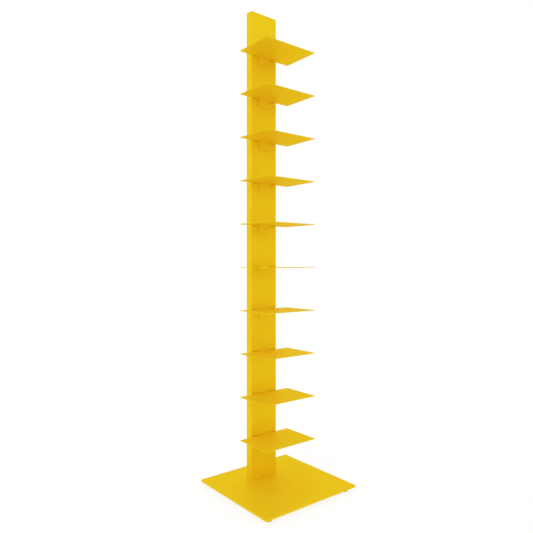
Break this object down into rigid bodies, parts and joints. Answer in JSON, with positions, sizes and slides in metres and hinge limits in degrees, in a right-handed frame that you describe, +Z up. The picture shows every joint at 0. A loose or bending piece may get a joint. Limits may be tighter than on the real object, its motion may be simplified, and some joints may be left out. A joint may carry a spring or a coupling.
{
  "type": "spine bookshelf",
  "caption": "Free-standing steel spine bookshelf: small folded shelves hooked one above another into a slim rectangular column on a square base plate with screw-in levelling glides.",
  "frame": {"origin": "on the floor under the centre of the square base plate", "axes": "+Z up along the column, -Y the front from which the shelves stand out, +X to the right seen from the front"},
  "size_m": [0.35, 0.35, 1.524],
  "materials": {
    "yellow_powder_coat": "fine satin powder coat",
    "zinc_steel": "bright zinc plate",
    "bare_steel": "bare rolled steel",
    "yellow_nylon": "moulded matt, coloured to match the coat"
  },
  "bodies": {
    "frame": {"base_plate": "yellow_powder_coat", "column_tube": "yellow_powder_coat", "column_top_cap": "yellow_powder_coat", "column_foot_plate": "bare_steel", "column_screws": "zinc_steel", "glide_nuts": "yellow_powder_coat"},
    "shelf_01": {"shelf_01": "yellow_powder_coat"},
    "shelf_02": {"shelf_02": "yellow_powder_coat"},
    "shelf_03": {"shelf_03": "yellow_powder_coat"},
    "shelf_04": {"shelf_04": "yellow_powder_coat"},
    "shelf_05": {"shelf_05": "yellow_powder_coat"},
    "shelf_06": {"shelf_06": "yellow_powder_coat"},
    "shelf_07": {"shelf_07": "yellow_powder_coat"},
    "shelf_08": {"shelf_08": "yellow_powder_coat"},
    "shelf_09": {"shelf_09": "yellow_powder_coat"},
    "shelf_10": {"shelf_10": "yellow_powder_coat"},
    "glide_pad_front_left": {"glide_pad_front_left": "yellow_nylon"},
    "glide_stud_front_left": {"glide_stud_front_left": "zinc_steel"},
    "glide_pad_front_right": {"glide_pad_front_right": "yellow_nylon"},
    "glide_stud_front_right": {"glide_stud_front_right": "zinc_steel"},
    "glide_pad_rear_left": {"glide_pad_rear_left": "yellow_nylon"},
    "glide_stud_rear_left": {"glide_stud_rear_left": "zinc_steel"},
    "glide_pad_rear_right": {"glide_pad_rear_right": "yellow_nylon"},
    "glide_stud_rear_right": {"glide_stud_rear_right": "zinc_steel"}
  },
  "joints": [
    {"name": "shelf_01_swing", "type": "hinge", "parent": "frame", "child": "shelf_01", "pos_m": [0, 0.073, 0.1525], "axis": [-1, 0, 0], "range_deg": [0, 30]},
    {"name": "shelf_02_swing", "type": "hinge", "parent": "frame", "child": "shelf_02", "pos_m": [0, 0.073, 0.289], "axis": [-1, 0, 0], "range_deg": [0, 30]},
    {"name": "shelf_03_swing", "type": "hinge", "parent": "frame", "child": "shelf_03", "pos_m": [0, 0.073, 0.4255], "axis": [-1, 0, 0], "range_deg": [0, 30]},
    {"name": "shelf_04_swing", "type": "hinge", "parent": "frame", "child": "shelf_04", "pos_m": [0, 0.073, 0.562], "axis": [-1, 0, 0], "range_deg": [0, 30]},
    {"name": "shelf_05_swing", "type": "hinge", "parent": "frame", "child": "shelf_05", "pos_m": [0, 0.073, 0.6985], "axis": [-1, 0, 0], "range_deg": [0, 30]},
    {"name": "shelf_06_swing", "type": "hinge", "parent": "frame", "child": "shelf_06", "pos_m": [0, 0.073, 0.835], "axis": [-1, 0, 0], "range_deg": [0, 30]},
    {"name": "shelf_07_swing", "type": "hinge", "parent": "frame", "child": "shelf_07", "pos_m": [0, 0.073, 0.9715], "axis": [-1, 0, 0], "range_deg": [0, 30]},
    {"name": "shelf_08_swing", "type": "hinge", "parent": "frame", "child": "shelf_08", "pos_m": [0, 0.073, 1.108], "axis": [-1, 0, 0], "range_deg": [0, 30]},
    {"name": "shelf_09_swing", "type": "hinge", "parent": "frame", "child": "shelf_09", "pos_m": [0, 0.073, 1.2445], "axis": [-1, 0, 0], "range_deg": [0, 30]},
    {"name": "shelf_10_swing", "type": "hinge", "parent": "frame", "child": "shelf_10", "pos_m": [0, 0.073, 1.381], "axis": [-1, 0, 0], "range_deg": [0, 30]},
    {"name": "glide_front_left_height", "type": "slide", "parent": "frame", "child": "glide_pad_front_left", "axis": [0, 0, -1], "range_m": [0, 0.004]},
    {"name": "glide_front_left_screw", "type": "hinge", "parent": "glide_pad_front_left", "child": "glide_stud_front_left", "pos_m": [-0.149, -0.149, 0.01], "axis": [0, 0, -1], "range_deg": [0, 1152.1]},
    {"name": "glide_front_right_height", "type": "slide", "parent": "frame", "child": "glide_pad_front_right", "axis": [0, 0, -1], "range_m": [0, 0.004]},
    {"name": "glide_front_right_screw", "type": "hinge", "parent": "glide_pad_front_right", "child": "glide_stud_front_right", "pos_m": [0.149, -0.149, 0.01], "axis": [0, 0, -1], "range_deg": [0, 1152.1]},
    {"name": "glide_rear_left_height", "type": "slide", "parent": "frame", "child": "glide_pad_rear_left", "axis": [0, 0, -1], "range_m": [0, 0.004]},
    {"name": "glide_rear_left_screw", "type": "hinge", "parent": "glide_pad_rear_left", "child": "glide_stud_rear_left", "pos_m": [-0.149, 0.149, 0.01], "axis": [0, 0, -1], "range_deg": [0, 1152.1]},
    {"name": "glide_rear_right_height", "type": "slide", "parent": "frame", "child": "glide_pad_rear_right", "axis": [0, 0, -1], "range_m": [0, 0.004]},
    {"name": "glide_rear_right_screw", "type": "hinge", "parent": "glide_pad_rear_right", "child": "glide_stud_rear_right", "pos_m": [0.149, 0.149, 0.01], "axis": [0, 0, -1], "range_deg": [0, 1152.1]}
  ],
  "couplings": [
    {"joint": "glide_front_left_screw", "follows": "glide_front_left_height", "rad_per_m": 5026.5},
    {"joint": "glide_front_right_screw", "follows": "glide_front_right_height", "rad_per_m": 5026.5},
    {"joint": "glide_rear_left_screw", "follows": "glide_rear_left_height", "rad_per_m": 5026.5},
    {"joint": "glide_rear_right_screw", "follows": "glide_rear_right_height", "rad_per_m": 5026.5}
  ]
}
